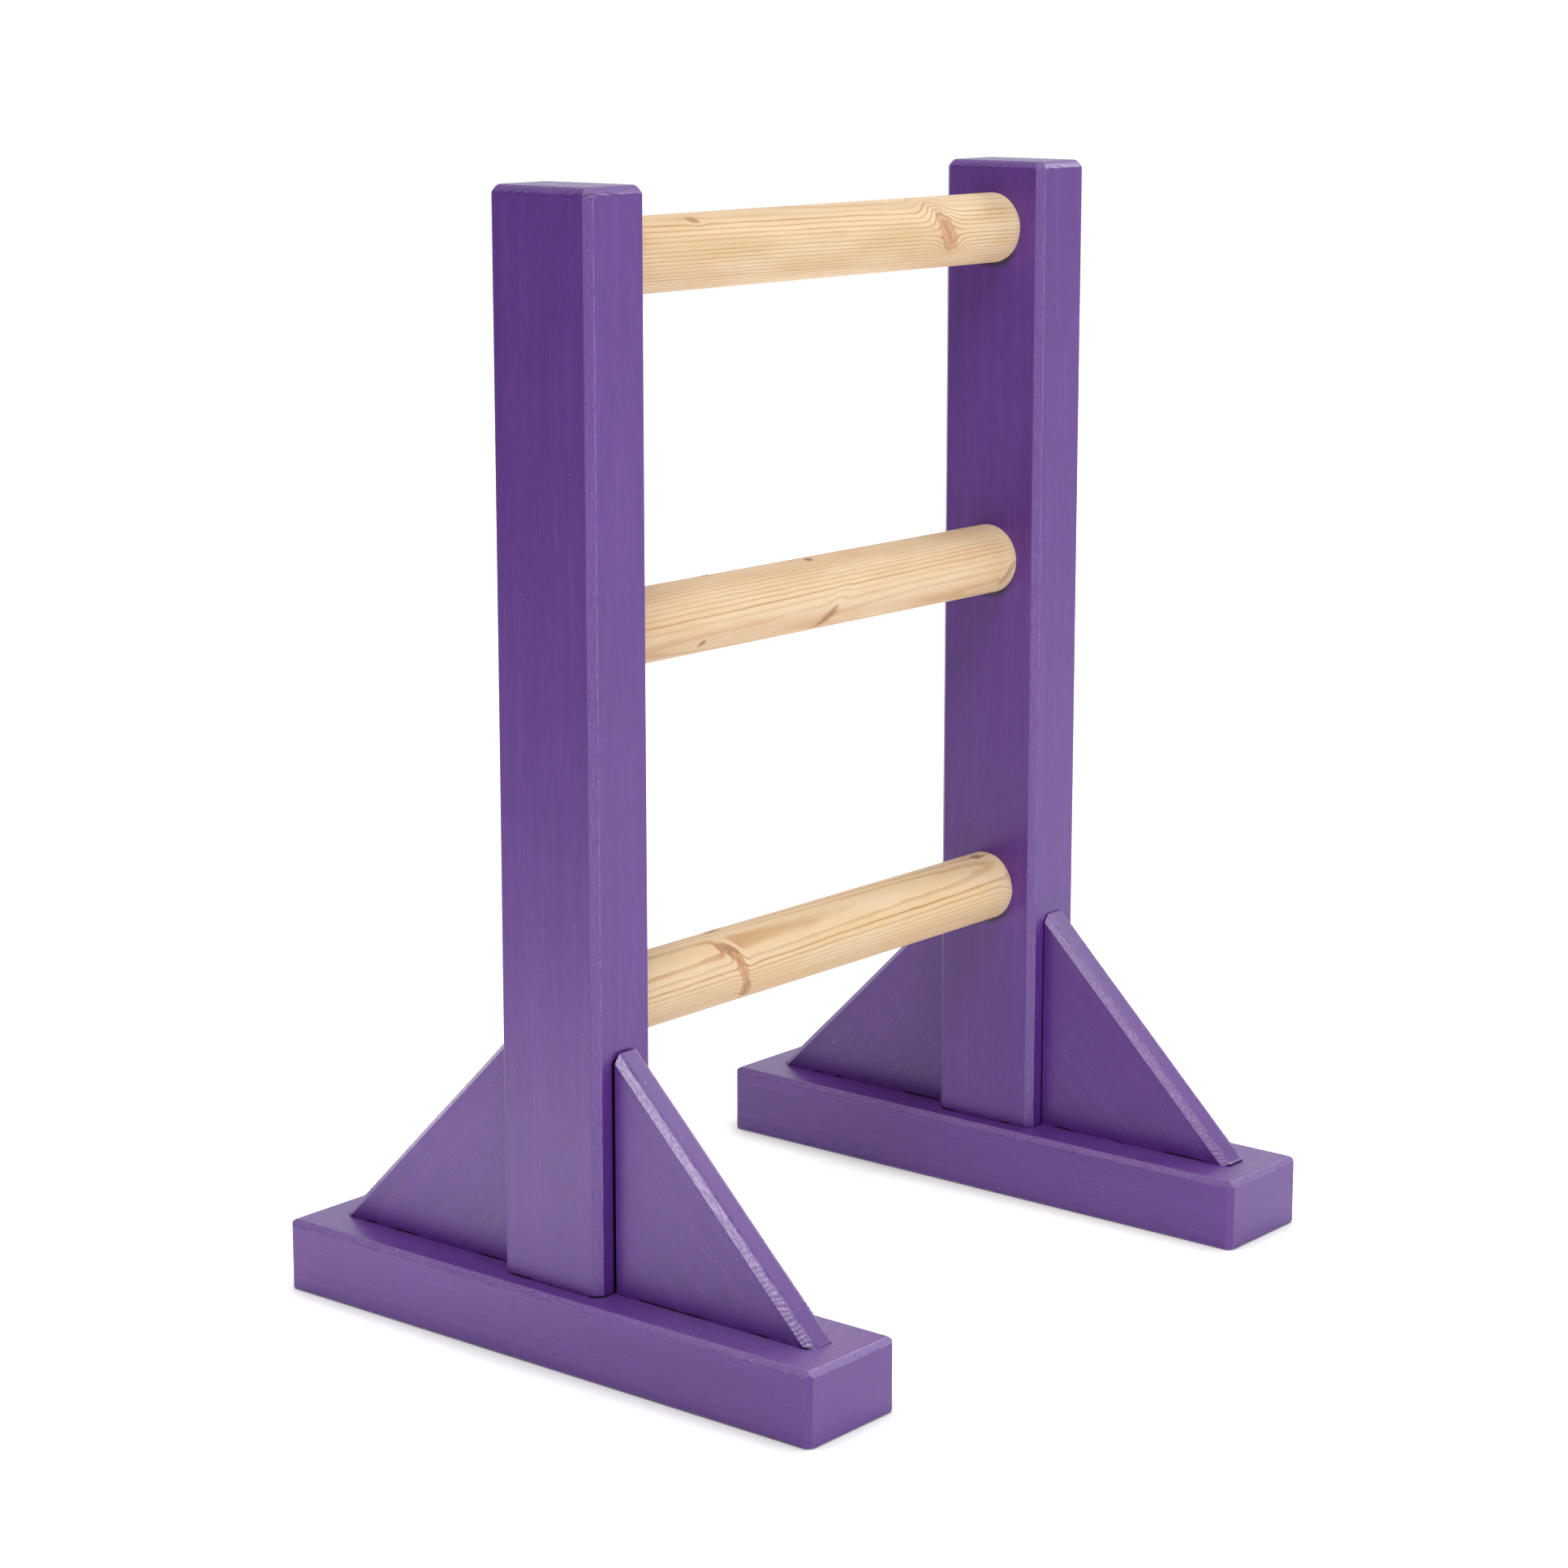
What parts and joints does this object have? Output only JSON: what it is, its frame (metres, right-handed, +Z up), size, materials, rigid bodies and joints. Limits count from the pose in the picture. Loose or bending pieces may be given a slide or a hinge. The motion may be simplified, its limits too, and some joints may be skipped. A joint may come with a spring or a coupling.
{
  "type": "three-bar gymnastics frame",
  "caption": "Free-standing wooden gymnastics frame: round pine bars one above another between two purple posts on foot beams with triangular gussets.",
  "frame": {"origin": "on the floor, under the middle of the object", "axes": "+X along the round bars towards the right end frame, +Y along the foot beams towards the rear, +Z up"},
  "size_m": [0.45, 0.37, 0.61],
  "materials": {
    "purple_paint": "softwood brushed with purple satin paint, grain and brush marks showing faintly through",
    "bar_pine": "bare sanded pine with straight grain and a few knots",
    "screw_steel": "bright zinc plated steel"
  },
  "bodies": {
    "root": {"left_foot_beam": "purple_paint", "right_foot_beam": "purple_paint", "left_post": "purple_paint", "right_post": "purple_paint", "left_front_gusset": "purple_paint", "left_rear_gusset": "purple_paint", "right_front_gusset": "purple_paint", "right_rear_gusset": "purple_paint", "bottom_bar": "bar_pine", "middle_bar": "bar_pine", "top_bar": "bar_pine", "bar_screw_plugs": "purple_paint", "gusset_nail_fillers": "purple_paint", "bar_screws": "screw_steel", "post_screws": "screw_steel", "gusset_screws": "screw_steel", "gusset_nails": "screw_steel"}
  },
  "joints": []
}
